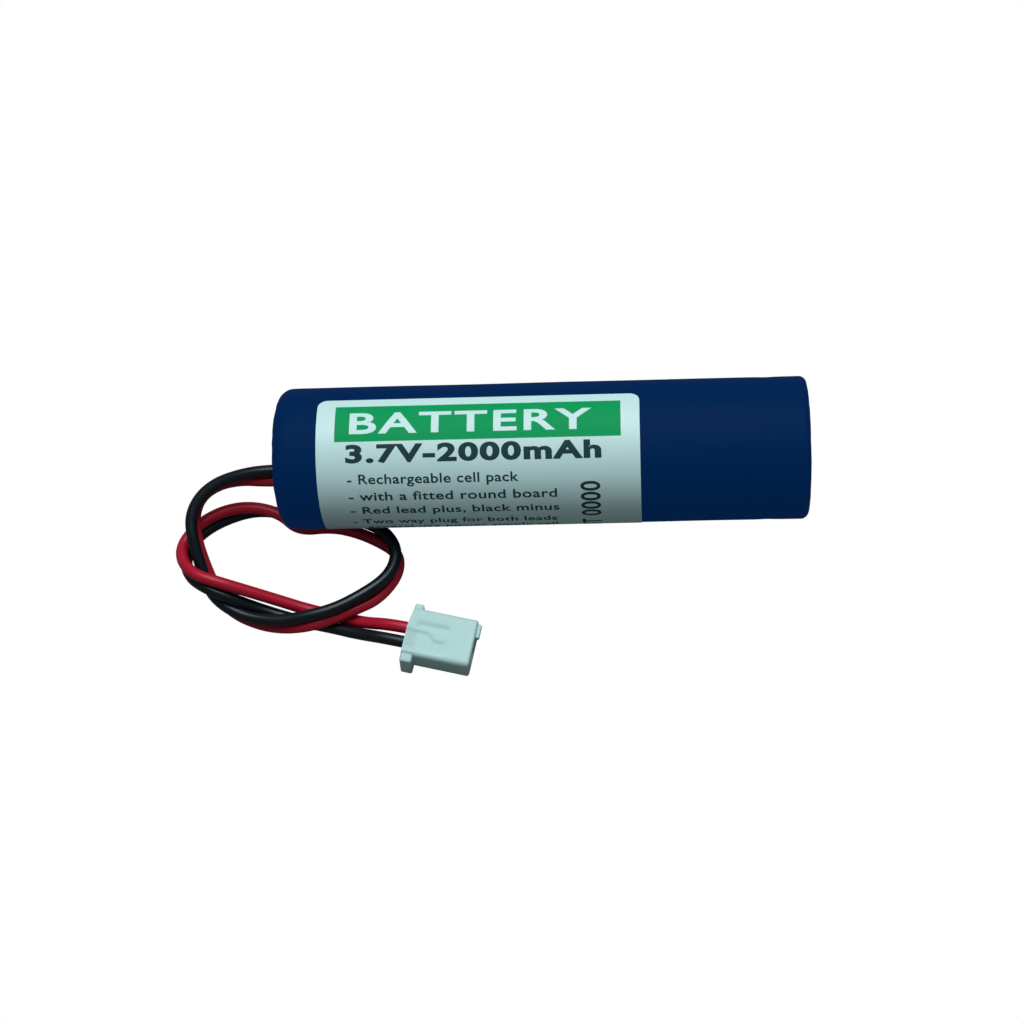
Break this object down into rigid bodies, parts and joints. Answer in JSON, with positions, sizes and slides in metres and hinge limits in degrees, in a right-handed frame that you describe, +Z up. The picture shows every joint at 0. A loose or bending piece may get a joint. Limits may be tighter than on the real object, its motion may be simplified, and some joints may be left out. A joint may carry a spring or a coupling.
{
  "type": "wired battery cell pack",
  "caption": "Cylindrical lithium-ion cell in blue heat-shrink with a printed label, red and black leads and a white two-way plug.",
  "frame": {"origin": "under the middle of the sleeve, on the surface that the pack lies on", "axes": "+X along the cell towards its plain end, so the leads leave at -X; +Z up; -Y is the side that the label and the leads' loop face"},
  "size_m": [0.084, 0.0372, 0.0187],
  "materials": {
    "navy_sleeve": "semi-gloss",
    "label_stock": "satin print",
    "red_pvc": "satin",
    "black_pvc": "satin",
    "plug_nylon": "satin",
    "tinned_bronze": "plated",
    "nickel_steel": "plated",
    "nickel_strip": "plain",
    "cap_aluminium": "plain",
    "ptc_black": "matte",
    "seal_plastic": "matte",
    "copper_graphite": "matte",
    "cathode_oxide": "matte",
    "separator_film": "matte",
    "roll_tape_film": "glossy",
    "insulator_card": "matte",
    "cell_sleeve_film": "glossy",
    "board_green": "satin",
    "copper": "bare",
    "solder": "smooth",
    "chip_black": "matte",
    "capacitor_tan": "matte"
  },
  "bodies": {
    "root": {"anode_sheet": "copper_graphite", "anode_tab": "nickel_strip", "black_conductor": "copper", "black_contact": "tinned_bronze", "black_lead": "black_pvc", "board_cover_disc": "insulator_card", "board_insulator": "insulator_card", "bottom_insulator": "insulator_card", "cathode_sheet": "cathode_oxide", "cathode_tab": "cap_aluminium", "cell_can": "nickel_steel", "cell_sleeve": "cell_sleeve_film", "chip_capacitor": "capacitor_tan", "chip_resistors": "chip_black", "cid_insulator": "seal_plastic", "cid_plate": "cap_aluminium", "crimp_gasket": "seal_plastic", "label": "label_stock", "mosfet_pair": "chip_black", "negative_strip": "nickel_strip", "outer_sleeve": "navy_sleeve", "plain_end_disc": "insulator_card", "plug_housing": "plug_nylon", "positive_strip": "nickel_strip", "positive_washer": "insulator_card", "protection_board": "board_green", "protection_ic": "chip_black", "ptc_ring": "ptc_black", "red_conductor": "copper", "red_contact": "tinned_bronze", "red_lead": "red_pvc", "roll_tape": "roll_tape_film", "separator_inner": "separator_film", "separator_outer": "separator_film", "solder_joints": "solder", "solder_pads": "copper", "strip_insulator": "insulator_card", "top_cap": "nickel_steel", "top_insulator": "insulator_card", "vent_disc": "cap_aluminium"}
  },
  "joints": []
}
